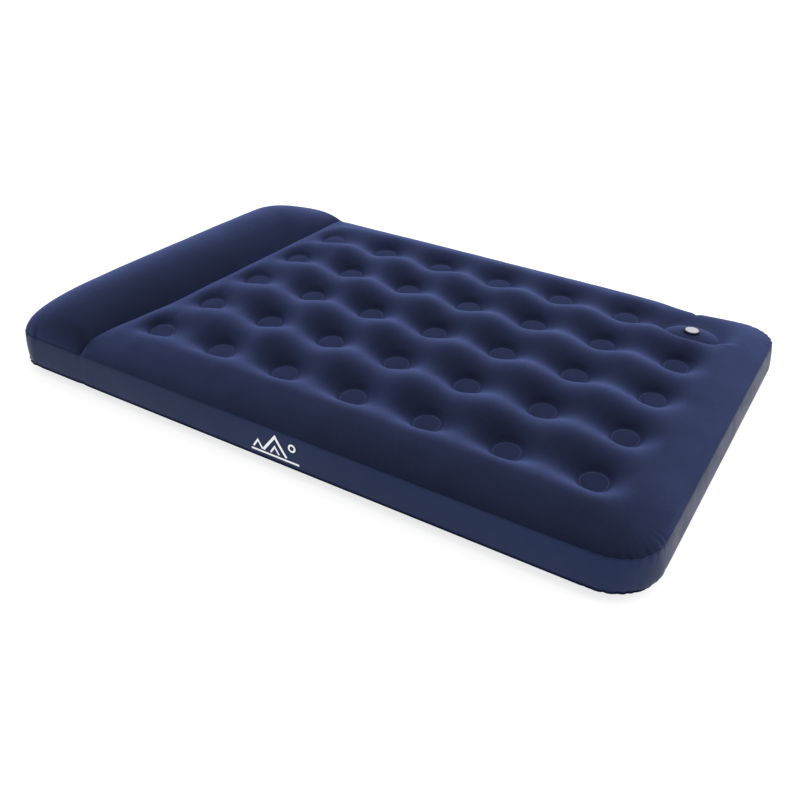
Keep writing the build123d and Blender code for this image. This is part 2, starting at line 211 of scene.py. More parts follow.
class Skin:
    """A thin skin over a grid, as the stiffness of every edge and the area of every vertex."""

    PAIRS = (
        (np.s_[1:], np.s_[:-1]),
        (np.s_[:, 1:], np.s_[:, :-1]),
        (np.s_[1:, 1:], np.s_[:-1, :-1]),
        (np.s_[1:, :-1], np.s_[:-1, 1:]),
    )

    def __init__(self, X, Y):
        P = np.stack([X, Y], -1)
        n, m = X.shape
        shapes = ((n - 1, m), (n, m - 1), (n - 1, m - 1), (n - 1, m - 1))
        self.K = [np.zeros(shape) for shape in shapes]
        self.A = np.zeros((n, m))
        along, across, rising, falling = self.K
        corner = {
            "a": np.s_[:-1, :-1],
            "b": np.s_[1:, :-1],
            "c": np.s_[1:, 1:],
            "d": np.s_[:-1, 1:],
        }
        edge = {
            "ab": (along, np.s_[:, :-1]),
            "cd": (along, np.s_[:, 1:]),
            "bc": (across, np.s_[1:, :]),
            "ad": (across, np.s_[:-1, :]),
            "ac": (rising, np.s_[:, :]),
            "bd": (falling, np.s_[:, :]),
        }
        for names in ("abc", "acd", "abd", "bcd"):
            p, q, r = (P[corner[k]] for k in names)
            e, f = q - p, r - p
            det = np.maximum(np.abs(e[..., 0] * f[..., 1] - e[..., 1] * f[..., 0]), SMALLEST_AREA)
            for k in range(3):
                o, s, t = (P[corner[names[(k + j) % 3]]] for j in range(3))
                cot = np.clip(((s - o) * (t - o)).sum(-1) / det, -STIFFEST, STIFFEST)
                grid, part = edge["".join(sorted(names[(k + 1) % 3] + names[(k + 2) % 3]))]
                grid[part] += cot / 4
                self.A[corner[names[k]]] += det / 12

    def pull(self, z):
        """How hard the skin pulls every vertex back towards its neighbours' heights."""
        y = np.zeros_like(z)
        for k, (one, other) in zip(self.K, self.PAIRS):
            f = k * (z[one] - z[other])
            y[one] += f
            y[other] -= f
        return y

    def rest(self, Z, free, source, hold=0.0):
        """The shape at rest under a source of push, with hold pulling back to zero height."""
        D = self.A * hold
        for k, (one, other) in zip(self.K, self.PAIRS):
            D[one] += k
            D[other] += k
        D = np.maximum(D, 1e-6)
        Z = Z.copy()
        left = np.where(free, self.A * (source - hold * Z) - self.pull(Z), 0)
        q = left / D
        d = q.copy()
        rq = first = (left * q).sum()
        for _ in range(MOST_STEPS):
            Kd = np.where(free, self.pull(d) + self.A * hold * d, 0)
            step = rq / (d * Kd).sum()
            Z += step * d
            left -= step * Kd
            q = left / D
            new = (left * q).sum()
            if new < TINY * first:
                break
            d = q + new / rq * d
            rq = new
        return Z

    def plateau(self, edge_height, free, height, push):
        """A skin that rises from its edges and levels off at a height."""
        Z = np.where(free, height * 0.5, edge_height)
        for _ in range(ROUNDS):
            u = np.clip(Z / height, 0.3, 1.6)
            slope = push * 4 * u**3 / height
            Z = self.rest(Z, free, push * (1 - u**4) + slope * Z, slope)
        return Z


# ---------------------------------------------------------------- puckers of the welded seams
PUCKER_PAST_ARC, PUCKER_SCATTER = 0.012, 0.006
PUCKER_WIDTHS = (0.004, 0.007)
PUCKER_DEPTHS = (0.35, 1.0)


def pucker_lists(seed, count, deepest):
    """Place, depth and width of every pucker at each corner."""
    draw = np.random.default_rng(seed)
    lists = {}
    for key in ((-1, -1), (-1, 1), (1, -1), (1, 1)):
        span = float(corner_r(key[0])) * math.pi / 2
        at = np.linspace(-PUCKER_PAST_ARC, span + PUCKER_PAST_ARC, count)
        at = at + draw.uniform(-PUCKER_SCATTER, PUCKER_SCATTER, count)
        depth = draw.uniform(*PUCKER_DEPTHS, count) * deepest
        wide = draw.uniform(*PUCKER_WIDTHS, count)
        lists[key] = list(zip(at, depth, wide))
    return lists


TOP_PUCKERS = pucker_lists(3, 9, 0.0042)
BASE_PUCKERS = pucker_lists(11, 10, 0.0040)
TOP_FOLD, BASE_FOLD = -0.35, 0.3  # height of the folds behind the puckers, to their depth
CREASE_DEPTH, CREASE_WIDTH = 0.0035, 0.009
# Beside the pump the well holds the top sheet short, so the far seam sags with one sharp notch.
NOTCH_X, NOTCH_DEPTH, NOTCH_WIDTH = PUMP[0] - 0.030, 0.0080, 0.008
SAG_X, SAG_WIDTH, SAG_IN, SAG_DOWN, SAG_REACH = PUMP[0] - 0.065, 0.105, 0.010, 0.009, 0.11


def seam_place(X, Y):
    """Distance along the nearest corner's seam and distance in from it, for points in plan."""
    radius = corner_r(X)
    u, v = np.abs(X) - (SX - radius), np.abs(Y) - (SY - radius)
    in_corner = (u > 0) & (v > 0)
    beside = np.where(v <= u, v, radius * math.pi / 2 - u)
    along = np.where(in_corner, radius * np.arctan2(v, u), beside)
    from_sides = np.minimum(SX - np.abs(X), SY - np.abs(Y))
    return along, np.where(in_corner, radius - np.hypot(u, v), from_sides)


def puckers(lists, X, Y):
    """How far the seam is drawn in beside each point."""
    along, _ = seam_place(X, Y)
    out = np.zeros_like(X)
    for (sx, sy), marks in lists.items():
        here = (np.where(X < 0, -1, 1) == sx) & (np.where(Y < 0, -1, 1) == sy)
        for at, depth, wide in marks:
            out += np.where(here, depth * dent(along - at, wide), 0)
    by_side = np.abs(Y) > SY - HEAD_R
    out += np.where(by_side, CREASE_DEPTH * dent(X - CREASE_X, CREASE_WIDTH), 0)
    out += np.where(by_side & (Y > 0), NOTCH_DEPTH * dent(X - NOTCH_X, NOTCH_WIDTH), 0)
    return out


def far_sag(X, Y):
    """Share of the far seam's sag at each point."""
    return np.where(Y > SY - FOOT_R, dent(X - SAG_X, SAG_WIDTH), 0.0)


def inward(X, Y):
    """Unit vector from the seam towards the middle, for points near it."""
    u, v = np.abs(X) - (SX - corner_r(X)), np.abs(Y) - (SY - corner_r(X))
    nx = np.where((u > 0) & (v > 0), u, np.where(v <= u, 1.0, 0.0))
    ny = np.where((u > 0) & (v > 0), v, np.where(v <= u, 0.0, 1.0))
    size = np.maximum(np.hypot(nx, ny), 1e-9)
    return -np.sign(X) * nx / size, -np.sign(Y) * ny / size


def draw_in(X, Y, Z, lists, fold, sagging):
    """Adds the puckers to a skin: its edge follows the seam and soft folds run in from it."""
    _, depth = seam_place(X, Y)
    w = puckers(lists, X, Y)
    ix, iy = inward(X, Y)
    near = fade(depth, 0.010)
    behind = fade(depth, 0.024) * (1 - fade(depth, 0.006))
    Z = Z + fold * w * behind
    sag = 0.0
    if sagging:
        sag = far_sag(X, Y) * np.clip(1 - depth / SAG_REACH, 0, 1) ** 2
        pinch = np.where(Y > SY - FOOT_R, dent(X - NOTCH_X, NOTCH_WIDTH), 0)
        pinch = pinch * fade(depth, 0.045) * (1 - fade(depth, 0.004))
        Z = Z - SAG_DOWN * sag - NOTCH_DEPTH * pinch
    return X + ix * w * near, Y + iy * (w * near + SAG_IN * sag), Z


# ---------------------------------------------------------------- mesh building
def new_mesh(name, verts, faces, smooth=True):
    mesh = bpy.data.meshes.new(name)
    mesh.from_pydata([tuple(map(float, v)) for v in verts], [], [tuple(map(int, f)) for f in faces])
    mesh.validate()
    mesh.update()
    mesh.polygons.foreach_set("use_smooth", [smooth] * len(mesh.polygons))
    obj = bpy.data.objects.new(name, mesh)
    bpy.context.collection.objects.link(obj)
    return obj


def new_skin(name, X, Y, Z, keep=None, upward=True):
    """A piece from a grid of vertices, with all its quads or those that keep marks."""
    n, m = X.shape
    index = np.arange(n * m).reshape(n, m)
    quads = np.stack([index[:-1, :-1], index[1:, :-1], index[1:, 1:], index[:-1, 1:]], -1)
    quads = quads.reshape(-1, 4) if keep is None else quads[keep]
    if not upward:
        quads = quads[:, ::-1]
    used = np.unique(quads)
    again = np.full(n * m, -1)
    again[used] = np.arange(len(used))
    verts = np.stack([X.ravel(), Y.ravel(), Z.ravel()], -1)[used]
    return new_mesh(name, verts, again[quads])


def crease_height(Y):
    return TOP_SEAM + (CREASE_Z - TOP_SEAM) * ease((SY - np.abs(Y)) / CREASE_END)


# ---------------------------------------------------------------- bed top
BED_CELL = 40  # quads along one cell
HOLE_SHARE = 0.6
PEAK, BED_PUSH = 0.188, 2.9
FRONT_Y, FRONT_BLEND, FRONT_FULLNESS = -0.28, 0.20, 0.32
SWELL_INSET, SWELL_REACH, SWELL_RISE, SWELL_FADE = 0.112, 0.10, 0.003, 0.08
ROW_VALLEY, CROSS_VALLEY, VALLEY_TO_CREASE = 0.028, 0.018, 0.075
END_VALLEYS = {columns[0]: 0.35, columns[-1]: 0.65}
HEAD_STEEPER = 1.4
LEAN = 0.006  # the hollows' lowest points lie this far off the welds' centres
BOWL_R, BOWL_SHAPE, BOWL_LONG, BOWL_WIDE = 0.052, 2.3, 1.3, 0.95
BOWL_FLOOR = TOP_WELD - 0.004
DISC_LIFT, DISC_TILT, DISC_EDGE = 0.0035, 0.14, 0.014
RIDGE_SHARE, RIDGE_SHIFT, RIDGE_REACH = 0.85, 0.035, 0.095
PUMP_EDGE, PUMP_FLAT = well_high[2] + GAP, 0.003
PUMP_SLOPE, PUMP_SLOPE_BEHIND, PUMP_SLOPE_BEFORE = 0.036, 0.074, 0.021
BED_WAVE, BED_WAVE_SIZE, BED_WAVE_FADE = 0.0008, 0.09, 0.05
cell_x = [CREASE_X, *[c + HALF for c in columns]]
cell_y = [rows[0] - HALF, *[r + HALF for r in rows]]


def valleys(X, Y):
    """Depth of the valleys that run between the coil beams, along the rows and across them."""
    past_crease, past_foot = np.maximum(columns[0] - X, 0), np.maximum(X - columns[-1], 0)
    along = sum(swing(Y - cy + LEAN, HALF) for cy in rows)
    along = along * swing(past_crease, VALLEY_TO_CREASE) * swing(past_foot, HALF)
    steeper = np.where(X < columns[0], HEAD_STEEPER, 1.0)
    cross = sum(END_VALLEYS.get(cx, 1.0) * swing(steeper * (X - cx), HALF) for cx in columns)
    cross = cross * swing(np.maximum(np.abs(Y) - rows[-1], 0), HALF)
    ridge = swing(X - PUMP[0] - RIDGE_SHIFT, HALF) * swing(Y - PUMP[1] + HALF, RIDGE_REACH)
    return ROW_VALLEY * along + CROSS_VALLEY * cross * (1 - RIDGE_SHARE * ridge)


def sink_welds(X, Y, level):
    """Draws the sheet down round every weld and lays the weld's flat disc in the hollow."""
    Z = level.copy()
    for cx, cy in sorted(coil_spots):
        r = np.hypot((X - cx) / BOWL_LONG, (Y - cy + LEAN) / BOWL_WIDE)
        above = level.ravel()[np.argmin((X - cx) ** 2 + (Y - cy + LEAN) ** 2)]
        Z -= (above - BOWL_FLOOR) * bowl(r, BOWL_R, BOWL_SHAPE)
    for cx, cy in sorted(coil_spots):
        disc = TOP_WELD + DISC_LIFT + DISC_TILT * (Y - cy)
        t = ease((np.hypot(X - cx, Y - cy) - DISC_R) / DISC_EDGE)
        Z = disc * (1 - t) + Z * t
    return Z


def to_pump(X, Y, level):
    """How far the sheet has to run down to reach the rim of the pump's well."""
    r = np.hypot(X - PUMP[0], Y - PUMP[1])
    facing = (Y - PUMP[1]) / np.maximum(r, TINY)
    behind = PUMP_SLOPE_BEHIND * facing**2
    before = -PUMP_SLOPE_BEFORE * ease(-2 * facing)
    reach = PUMP_SLOPE + np.where(facing > 0, behind, before)
    return (PUMP_EDGE - level) * bowl((r - HOLE_R + PUMP_FLAT) / reach, 1.0, 2.0)


def make_bed():
    xs = grid_lines([*cell_x, SX], [BED_CELL] * len(columns) + [BED_CELL // 2])
    counts = [BED_CELL // 2] + [BED_CELL] * len(rows) + [BED_CELL // 2]
    ys = grid_lines([-SY, *cell_y, SY], counts)
    X, Y = np.meshgrid(xs, ys, indexing="ij")
    X, Y, hole = mark_grid(X, Y, cell_x, cell_y, HOLE_SHARE)
    X, Y = round_corners(X, Y, (1,))
    height = PEAK - TOP_SEAM
    edge_height = np.zeros(X.shape)
    edge_height[0] = crease_height(Y[0]) - TOP_SEAM
    share = Skin(X, Y).plateau(edge_height, inner(X.shape), height, BED_PUSH) / height
    fuller = 1 - FRONT_FULLNESS * ease((FRONT_Y - Y) / FRONT_BLEND)
    level = TOP_SEAM + height * np.clip(share, 0, None) ** fuller - valleys(X, Y)
    Z = sink_welds(X, Y, level) + to_pump(X, Y, level)
    _, depth = seam_place(X, Y)
    Z += SWELL_RISE * swing(Y + SY - SWELL_INSET, SWELL_REACH) * ease(depth / SWELL_FADE)
    Z += BED_WAVE * slow_wave(X, Y, BED_WAVE_SIZE, 21) * ease(depth / BED_WAVE_FADE)
    X, Y, Z = draw_in(X, Y, Z, TOP_PUCKERS, TOP_FOLD, True)
    in_hole = hole[:-1, :-1] & hole[1:, :-1] & hole[1:, 1:] & hole[:-1, 1:]
    return new_skin("bed_top", X, Y, Z, ~in_hole)


# ---------------------------------------------------------------- pillow top
PILLOW_GRID = 48
PILLOW_PEAK = pillow_high[2] - 0.0020
PILLOW_ROUND, HEAD_PUSH = 0.60, 1.2
TAPER, TAPER_START, TAPER_LENGTH = 0.52, 0.30, 0.32
PILLOW_WAVE, PILLOW_WAVE_SIZE = 0.0010, 0.16


def make_pillow():
    span = CREASE_X + SX
    steps = grid_lines([0, 1], [PILLOW_GRID])
    xs = -SX + span * (0.5 - 0.5 * np.cos(math.pi * steps))
    counts = [PILLOW_GRID // 2, 4 * PILLOW_GRID, PILLOW_GRID // 2]
    ys = grid_lines([-SY, -SY + HEAD_R, SY - HEAD_R, SY], counts)
    X, Y = np.meshgrid(xs, ys, indexing="ij")
    X, Y = round_corners(X, Y, (-1,))
    push = 1.0 + HEAD_PUSH * (CREASE_X - X) / span
    swell = Skin(X, Y).rest(np.zeros(X.shape), inner(X.shape), push)
    swell = np.clip(swell / swell.max(), 0, 1)
    ground = TOP_SEAM + (crease_height(Y) - TOP_SEAM) * ease((X + SX) / span)
    taper = 1 - TAPER * ease((Y - SY + TAPER_START) / TAPER_LENGTH)
    Z = ground + (PILLOW_PEAK - 0.5 * (TOP_SEAM + CREASE_Z)) * swell**PILLOW_ROUND * taper
    Z += PILLOW_WAVE * slow_wave(X, Y, PILLOW_WAVE_SIZE, 5) * swell
    Z = np.minimum(Z, PILLOW_PEAK)
    X, Y, Z = draw_in(X, Y, Z, TOP_PUCKERS, TOP_FOLD, True)
    return new_skin("pillow_top", X, Y, Z)


# ---------------------------------------------------------------- base
BASE_CELL = 24
BASE_CLEAR, BASE_PUSH = 0.0005, 1.6
BASE_BOWL_R, BASE_BOWL_SHAPE = 0.055, 2.2


def make_base():
    base_x = [columns[0] - HALF, *[c + HALF for c in columns]]
    counts = [BASE_CELL // 2] * 2 + [BASE_CELL] * len(columns) + [BASE_CELL // 2]
    xs = grid_lines([-SX, -SX + HEAD_R, *base_x, SX], counts)
    counts = [BASE_CELL // 2] + [BASE_CELL] * len(rows) + [BASE_CELL // 2]
    ys = grid_lines([-SY, *cell_y, SY], counts)
    X, Y = np.meshgrid(xs, ys, indexing="ij")
    X, Y, _ = mark_grid(X, Y, base_x, cell_y)
    X, Y = round_corners(X, Y, (-1, 1))
    level = BASE_SEAM - BASE_CLEAR
    drop = Skin(X, Y).plateau(np.zeros(X.shape), inner(X.shape), level, BASE_PUSH)
    for cx, cy in sorted(coil_spots):
        r = np.hypot(X - cx, Y - cy)
        drop -= (BASE_SEAM - BASE_WELD) * bowl(r, BASE_BOWL_R, BASE_BOWL_SHAPE)
    Z = np.maximum(BASE_SEAM - drop, 0.0)
    X, Y, Z = draw_in(X, Y, Z, BASE_PUCKERS, BASE_FOLD, False)
    return new_skin("base_skin", X, Y, np.maximum(Z, 0.0), upward=False)


bed_top = make_bed()
pillow_top = make_pillow()
base_skin = make_base()


# ---------------------------------------------------------------- side panel and weld lips
ARC_STEP = 0.45  # step round a corner, to the step along a side
BULGE, BULGE_SHAPE = 0.0042, 0.45
FOOT_LEAN, FOOT_LEAN_START, FOOT_SHARPNESS = 0.0105, 0.05, 6
PANEL_WAVE, PANEL_WAVE_SIZE = 0.0007, 0.35
TOP_FOLD_REACH, BASE_FOLD_REACH = 0.11, 0.13  # shares of the panel's height
VALVE_HOLE_R = 0.0201
VALVE_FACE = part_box("valve_base")[1][1] + 0.0012
VALVE_SQUARE, VALVE_SQUARE_HALF_HEIGHT = 0.036, 0.034
valve_x, valve_z = middle("valve_base", 0), middle("valve_base", 2)


def outline_points(step):
    """Points and outward directions round the seam, anticlockwise from the foot end."""
    points, normals = [], []
    foot_x, foot_y, head_x, head_y = SX - FOOT_R, SY - FOOT_R, SX - HEAD_R, SY - HEAD_R
    runs = [
        ((SX, -foot_y), (SX, foot_y), (1, 0)),
        ((foot_x, SY), (-head_x, SY), (0, 1)),
        ((-SX, head_y), (-SX, -head_y), (-1, 0)),
        ((-head_x, -SY), (foot_x, -SY), (0, -1)),
    ]
    centres = [(foot_x, foot_y), (-head_x, head_y), (-head_x, -head_y), (foot_x, -foot_y)]
    for k, ((x0, y0), (x1, y1), (nx, ny)) in enumerate(runs):
        count = max(2, round(math.hypot(x1 - x0, y1 - y0) / step))
        for t in np.arange(count) / count:
            points.append((x0 + (x1 - x0) * t, y0 + (y1 - y0) * t))
            normals.append((nx, ny))
        radius = float(corner_r(centres[k][0]))
        arc = max(4, round(radius * math.pi / 2 / (step * ARC_STEP)))
        start = math.atan2(ny, nx)
        for t in np.arange(arc) / arc:
            a = start + t * math.pi / 2
            nx, ny = math.cos(a), math.sin(a)
            points.append((centres[k][0] + radius * nx, centres[k][1] + radius * ny))
            normals.append((nx, ny))
    return np.array(points), np.array(normals)


outline, outward = outline_points(0.008)
count = len(outline)
top_in = puckers(TOP_PUCKERS, outline[:, 0], outline[:, 1])
base_in = puckers(BASE_PUCKERS, outline[:, 0], outline[:, 1])
sag = far_sag(outline[:, 0], outline[:, 1])
to_foot = np.clip(outward[:, 0], 0, 1) ** FOOT_SHARPNESS


def bulge(t):
    return BULGE * (1 - (2 * t - 1) ** 2) ** BULGE_SHAPE


def panel_offset(t):
    """How far the side stands out from the seam's line at height share t, with its folds."""
    lean = FOOT_LEAN * to_foot * (1 - t) * (1 - np.exp(-t / FOOT_LEAN_START))
    top = np.exp(-(1 - t) / TOP_FOLD_REACH) * top_in
    base = np.exp(-t / BASE_FOLD_REACH) * base_in
    return bulge(t) + lean - top - base


def panel_height(t):
    return BASE_SEAM + (TOP_SEAM - BASE_SEAM) * t


def strip(rings, skipped=()):
    """Quads between rings of points that each go once round the outline."""
    quads = []
    for r in range(rings - 1):
        for k in range(count):
            if (r, k) not in skipped:
                a, b = r * count + k, r * count + (k + 1) % count
                quads.append((a, b, b + count, a + count))
    return quads


def make_panel():
    level_count = 22
    levels = 0.5 - 0.5 * np.cos(np.linspace(0, math.pi, level_count + 1))
    wave = PANEL_WAVE * slow_wave(outline[:, 0], outline[:, 1], PANEL_WAVE_SIZE, 33)
    rings = []
    for t in levels:
        out = panel_offset(t) + wave * math.sin(math.pi * t) - SAG_IN * sag * t**3
        height = panel_height(t) - SAG_DOWN * sag * t**2
        rings.append(np.column_stack([outline + outward * out[:, None], height]))
    verts = np.concatenate(rings)

    # A square is left out of the grid and the sheet runs on from it to the valve's round hole.
    by_valve = (np.abs(outline[:, 0] - valve_x) < VALVE_SQUARE) & (outward[:, 1] > 0.99)
    k0, k1 = np.where(by_valve)[0][[0, -1]]
    r0, r1 = (
        int(np.argmin(np.abs(panel_height(levels) - valve_z - dz)))
        for dz in (-VALVE_SQUARE_HALF_HEIGHT, VALVE_SQUARE_HALF_HEIGHT)
    )
    faces = strip(len(levels), {(r, k) for r in range(r0, r1) for k in range(k0, k1)})
    loop = [r0 * count + k for k in range(k0, k1)] + [r * count + k1 for r in range(r0, r1)]
    loop += [r1 * count + k for k in range(k1, k0, -1)]
    loop += [r * count + k0 for r in range(r1, r0, -1)]
    last, rim = loop, verts[loop]
    angle = np.arctan2(rim[:, 2] - valve_z, rim[:, 0] - valve_x)
    circle_x, circle_z = VALVE_HOLE_R * np.cos(angle), VALVE_HOLE_R * np.sin(angle)
    face = np.full(len(loop), VALVE_FACE)
    circle = np.column_stack([valve_x + circle_x, face, valve_z + circle_z])
    for t in (0.25, 0.5, 0.75, 0.9, 1.0):
        ring = rim * (1 - t) + circle * t
        ring[:, 1] = rim[:, 1] + (VALVE_FACE - rim[:, 1]) * t**3
        now = list(range(len(verts), len(verts) + len(loop)))
        verts = np.vstack([verts, ring])
        for k in range(len(loop)):
            n = (k + 1) % len(loop)
            faces.append((last[k], last[n], now[n], now[k]))
        last = now
    return new_mesh("side_panel", verts, faces)


LIP_ROOT, LIP_NOSE = -0.004, 0.0006
LIP_TAPER, LIP_FOLLOW = 0.7, 0.75


def make_lip(name, z, drawn_in, sagging, thick, reach):
    """The flat welded edge that stands out round a seam."""
    profile = [
        (LIP_ROOT, -thick),
        (reach, -thick * LIP_TAPER),
        (reach + LIP_NOSE, 0.0),
        (reach, thick * LIP_TAPER),
        (LIP_ROOT, thick),
    ]
    rings = []
    for out, dz in profile + profile[:1]:
        follow = drawn_in * (1.0 if out < 0 else LIP_FOLLOW)
        place = outline + outward * (out - follow - SAG_IN * sagging)[:, None]
        rings.append(np.column_stack([place, z + dz - SAG_DOWN * sagging]))
    corners = len(profile)
    quads = [tuple(v % (corners * count) for v in quad) for quad in strip(corners + 1)]
    return new_mesh(name, np.concatenate(rings[:-1]), quads)


side_panel = make_panel()
top_lip = make_lip("top_weld_lip", TOP_SEAM, top_in, sag, 0.0004, 0.0016)
base_lip = make_lip("base_weld_lip", BASE_SEAM, base_in, 0 * sag, 0.0006, 0.0042)


# ---------------------------------------------------------------- printed emblem
PRINT_PROUD = 0.0011
STROKE_STEP = 0.004
SHARPEST_MITRE = 0.45
SHORTEST = 1e-7
EMBLEM_SCALE = 1.2


def front_face(x, z):
    """A point on the front of the side panel, just proud of it."""
    t = (z - BASE_SEAM) / (TOP_SEAM - BASE_SEAM)
    return (x, -(SY + bulge(t) + PRINT_PROUD), z)


def stroke(points, width, closed=False):
    """A painted line through the points, in short pieces so that it follows the face."""
    path = []
    ring = list(points) + ([points[0]] if closed else [])
    for (x0, z0), (x1, z1) in zip(ring[:-1], ring[1:]):
        pieces = max(1, round(math.hypot(x1 - x0, z1 - z0) / STROKE_STEP))
        path += [(x0 + (x1 - x0) * k / pieces, z0 + (z1 - z0) * k / pieces) for k in range(pieces)]
    path.append(ring[-1])
    left, right = [], []
    for k, (x, z) in enumerate(path):
        before = path[k - 1] if k else (path[-2] if closed else path[0])
        after = path[k + 1] if k + 1 < len(path) else (path[1] if closed else path[-1])
        one = Vector((x - before[0], z - before[1]))
        two = Vector((after[0] - x, after[1] - z))
        one = (one if one.length > SHORTEST else two).normalized()
        two = (two if two.length > SHORTEST else one).normalized()
        lean = (one + two).normalized()
        reach = width / 2 / max(lean.dot(one), SHARPEST_MITRE)
        left.append(front_face(x - lean.y * reach, z + lean.x * reach))
        right.append(front_face(x + lean.y * reach, z - lean.x * reach))
    n = len(path)
    quads = [(k, k + 1, n + k + 1, n + k) for k in range(n - 1)]
    return left + right, quads


def emblem(x0, z0):
    """A plain sign of a tent under the sun."""
    sun = [
        (0.044 + 0.0075 * math.cos(a), 0.036 + 0.0075 * math.sin(a))
        for a in np.linspace(0, 2 * math.pi, 25)[:-1]
    ]
    drawn = (
        ([(-0.062, 0), (0.062, 0)], 0.0058, False),
        ([(-0.030, 0.007), (0, 0.048), (0.030, 0.007)], 0.0070, False),
        ([(-0.011, 0.007), (0, 0.024), (0.011, 0.007)], 0.0050, False),
        ([(-0.056, 0.007), (-0.044, 0.026), (-0.032, 0.007)], 0.0050, False),
        (sun, 0.0050, True),
    )
    body, quads = [], []
    for points, width, closed in drawn:
        placed = [(x0 + EMBLEM_SCALE * x, z0 + EMBLEM_SCALE * z) for x, z in points]
        part, part_quads = stroke(placed, width, closed)
        quads += [tuple(len(body) + k for k in q) for q in part_quads]
        body += part
    return new_mesh("print_mark", body, quads)


print_mark = emblem(0.002, 0.046)


# ---------------------------------------------------------------- materials
class Nodes:
    """Builds one node material, in object coordinates."""

    def __init__(self, name, colour, roughness):
        self.mat = bpy.data.materials.new(name)
        self.mat.use_nodes = True
        self.tree = self.mat.node_tree
        self.shader = self.tree.nodes["Principled BSDF"]
        self.shader.inputs["Base Color"].default_value = (*colour, 1)
        self.shader.inputs["Roughness"].default_value = roughness
        self.place = self.tree.nodes.new("ShaderNodeTexCoord").outputs["Object"]

    def link(self, a, b):
        self.tree.links.new(a, b)

    def noise(self, scale, detail=3.0, rough=0.55, stretch=None):
        where = self.place
        if stretch:
            mapping = self.tree.nodes.new("ShaderNodeMapping")
            mapping.inputs["Scale"].default_value = stretch
            self.link(where, mapping.inputs["Vector"])
            where = mapping.outputs["Vector"]
        node = self.tree.nodes.new("ShaderNodeTexNoise")
        node.inputs["Scale"].default_value = scale
        node.inputs["Detail"].default_value = detail
        node.inputs["Roughness"].default_value = rough
        self.link(where, node.inputs["Vector"])
        return node.outputs["Fac"]

    def math(self, kind, a, b=None, c=None):
        node = self.tree.nodes.new("ShaderNodeMath")
        node.operation = kind
        for k, value in enumerate((a, b, c)):
            if value is None:
                continue
            if isinstance(value, (int, float)):
                node.inputs[k].default_value = value
            else:
                self.link(value, node.inputs[k])
        return node.outputs[0]

    def ramp(self, value, low, high, out_low, out_high):
        node = self.tree.nodes.new("ShaderNodeMapRange")
        node.interpolation_type = "SMOOTHSTEP"
        limits = {"From Min": low, "From Max": high, "To Min": out_low, "To Max": out_high}
        for key, number in limits.items():
            node.inputs[key].default_value = number
        self.link(value, node.inputs["Value"])
        return node.outputs["Result"]

    def blend(self, factor, a, b):
        node = self.tree.nodes.new("ShaderNodeMix")
        node.data_type = "RGBA"
        for socket, value in ((node.inputs[6], a), (node.inputs[7], b)):
            if isinstance(value, tuple):
                socket.default_value = (*value, 1)
            else:
                self.link(value, socket)
        if isinstance(factor, (int, float)):
            node.inputs[0].default_value = factor
        else:
            self.link(factor, node.inputs[0])
        return node.outputs[2]

    def colour(self, value):
        self.link(value, self.shader.inputs["Base Color"])

    def bump(self, height, distance, strength=1.0):
        node = self.tree.nodes.new("ShaderNodeBump")
        node.inputs["Distance"].default_value = distance
        node.inputs["Strength"].default_value = strength
        self.link(height, node.inputs["Height"])
        if self.shader.inputs["Normal"].is_linked:
            self.link(self.shader.inputs["Normal"].links[0].from_socket, node.inputs["Normal"])
        self.link(node.outputs["Normal"], self.shader.inputs["Normal"])

    def ring_distance(self):
        """Distance from the nearest weld's centre, by folding the grid onto one cell."""
        split = self.tree.nodes.new("ShaderNodeSeparateXYZ")
        self.link(self.place, split.inputs[0])
        parts = []
        for k, marks in ((0, columns), (1, rows)):
            start = marks[0] - PITCH / 2
            cell = self.math("SUBTRACT", split.outputs[k], start)
            cell = self.math("FLOOR", self.math("DIVIDE", cell, PITCH))
            cell = self.math("MINIMUM", self.math("MAXIMUM", cell, 0.0), float(len(marks) - 1))
            centre = self.math("ADD", self.math("MULTIPLY", cell, PITCH), marks[0])
            off = self.math("SUBTRACT", split.outputs[k], centre)
            parts.append(self.math("MULTIPLY", off, off))
        return self.math("SQRT", self.math("ADD", parts[0], parts[1]))


def velvet(name, welds_shown):
    """Flocked sheet: a dark base under a blue sheen, with the welds' pressed discs and rings; each
    disc's lighter tone is partly pressed flock and partly painted light, standing in for the
    brighter shading on the disc's upward face.
    """
    made = Nodes(name, (0.0090, 0.0120, 0.030), 0.95)
    shader = made.shader
    shader.inputs["Sheen Roughness"].default_value = 0.55
    shader.inputs["Sheen Tint"].default_value = (0.136, 0.188, 0.475, 1)
    shader.inputs["Specular IOR Level"].default_value = 0.05
    nap = made.ramp(made.noise(7.0, 4.0, 0.6), 0.35, 0.68, 0.0, 1.0)
    fine = made.ramp(made.noise(260.0, 2.0, 0.7), 0.3, 0.7, 0.0, 1.0)
    base = made.blend(nap, (0.0032, 0.0042, 0.0100), (0.0048, 0.0064, 0.0155))
    base = made.blend(made.math("MULTIPLY", fine, 0.35), base, (0.0080, 0.0105, 0.0240))
    brushed = made.ramp(made.noise(11.0, 5.0, 0.6, (1.0, 0.45, 1.0)), 0.32, 0.68, 0.86, 1.0)
    pile = made.ramp(made.noise(420.0, 2.0, 0.8), 0.3, 0.7, 0.80, 1.08)
    made.link(made.math("MULTIPLY", brushed, pile), shader.inputs["Sheen Weight"])
    made.bump(made.noise(900.0, 2.0, 0.8), 0.0006, 0.5)
    made.bump(made.noise(140.0, 3.0, 0.6), 0.0008, 0.35)
    if welds_shown:
        distance = made.ring_distance()
        away = made.math("ABSOLUTE", made.math("SUBTRACT", distance, DISC_R - 0.0015))
        # Painted light, in part: the flock inside each ring is made lighter, for the pressed flock
        # and for the light that the flat disc catches.
        inside = made.ramp(distance, DISC_R - 0.0035, DISC_R, 0.18, 0.0)
        base = made.blend(inside, base, (0.0105, 0.0135, 0.0330))
        ring = made.ramp(away, 0.0005, 0.0018, 0.75, 0.0)
        base = made.blend(ring, base, (0.030, 0.036, 0.074))
    made.colour(base)
    return made.mat


